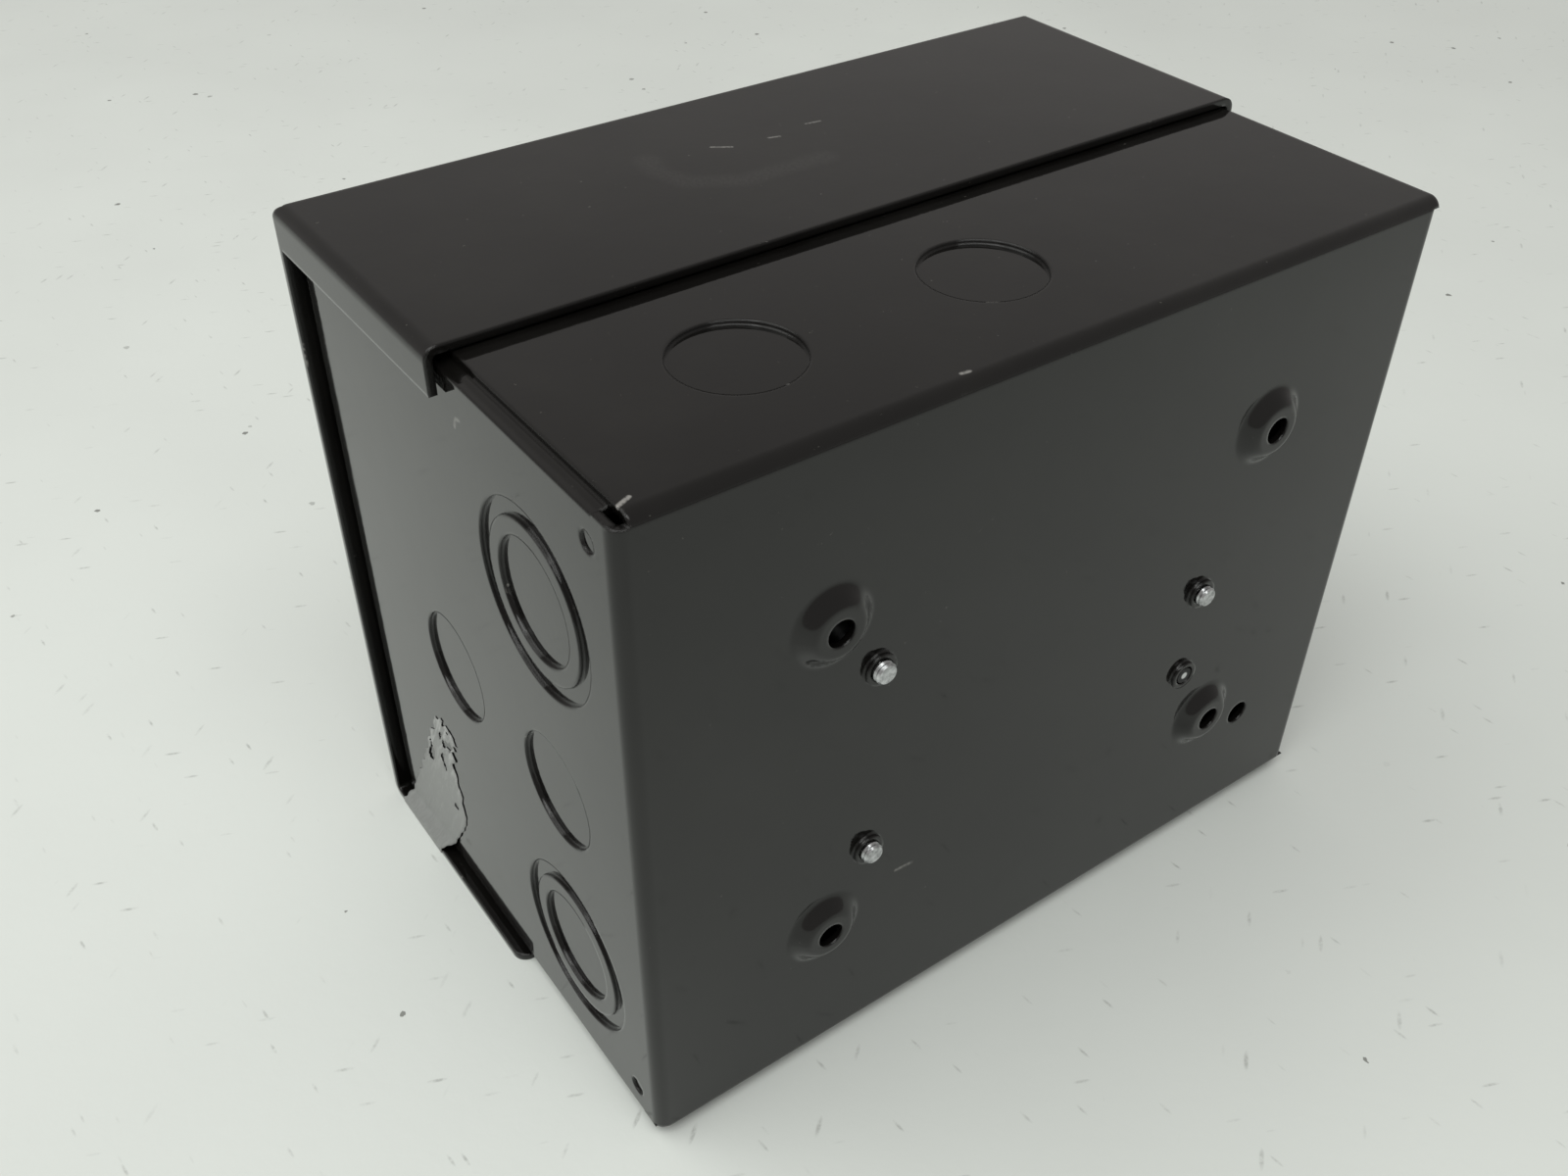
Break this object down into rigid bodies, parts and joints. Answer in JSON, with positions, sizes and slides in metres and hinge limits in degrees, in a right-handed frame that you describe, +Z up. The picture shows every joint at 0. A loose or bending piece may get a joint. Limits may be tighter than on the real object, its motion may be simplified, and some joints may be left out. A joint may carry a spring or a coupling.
{
  "type": "subpanel enclosure",
  "caption": "Black sheet steel wall enclosure with pressed knockouts, a slide-off U-shaped cover held by screws, and a component plate with a ground bar inside.",
  "frame": {"origin": "centre of the four wall-mounting holes, in the plane of the boss rims that touch the wall", "axes": "+Z up, +Y out of the back towards the wall, cover on the -Y side, +X along the width"},
  "size_m": [0.1768, 0.1183, 0.1453],
  "materials": {
    "black_enamel": "gloss black baked enamel over steel sheet, slight orange peel",
    "spring_steel": "phosphated spring steel",
    "galvanised_sheet": "galvanised sheet with faint spangle",
    "spacer_aluminium": "turned aluminium",
    "bar_aluminium": "extruded aluminium",
    "zinc_plate": "bright zinc plated steel",
    "black_oxide": "black oxide steel",
    "green_zinc": "green dyed zinc plated steel"
  },
  "bodies": {
    "enclosure": {"box_shell": "black_enamel", "clip_nut_left": "spring_steel", "clip_nut_right": "spring_steel", "subpanel": "galvanised_sheet", "spacer_1": "spacer_aluminium", "spacer_2": "spacer_aluminium", "spacer_3": "spacer_aluminium", "spacer_4": "spacer_aluminium", "subpanel_screw_1": "zinc_plate", "subpanel_screw_2": "zinc_plate", "subpanel_screw_3": "zinc_plate", "subpanel_screw_4": "black_oxide", "lock_washer_1": "zinc_plate", "lock_washer_2": "zinc_plate", "lock_washer_3": "zinc_plate", "lock_washer_4": "zinc_plate", "ground_bar": "bar_aluminium", "bar_screw_1": "zinc_plate", "bar_screw_2": "zinc_plate", "terminal_screw_1": "green_zinc", "terminal_screw_2": "green_zinc", "terminal_screw_3": "green_zinc", "terminal_screw_4": "green_zinc", "terminal_screw_5": "green_zinc"},
    "cover": {"cover": "black_enamel"},
    "cover_screw_left": {"cover_screw_left": "zinc_plate"},
    "cover_screw_right": {"cover_screw_right": "zinc_plate"}
  },
  "joints": [
    {"name": "cover_pull", "type": "slide", "parent": "enclosure", "child": "cover", "axis": [0, -1, 0], "range_m": [0, 0.075]},
    {"name": "cover_screw_left_turn", "type": "hinge", "parent": "cover", "child": "cover_screw_left", "pos_m": [-0.0783, -0.1154, -0.00005], "axis": [0, 1, 0], "continuous": true},
    {"name": "cover_screw_right_turn", "type": "hinge", "parent": "cover", "child": "cover_screw_right", "pos_m": [0.0783, -0.1154, -0.00005], "axis": [0, 1, 0], "continuous": true}
  ]
}
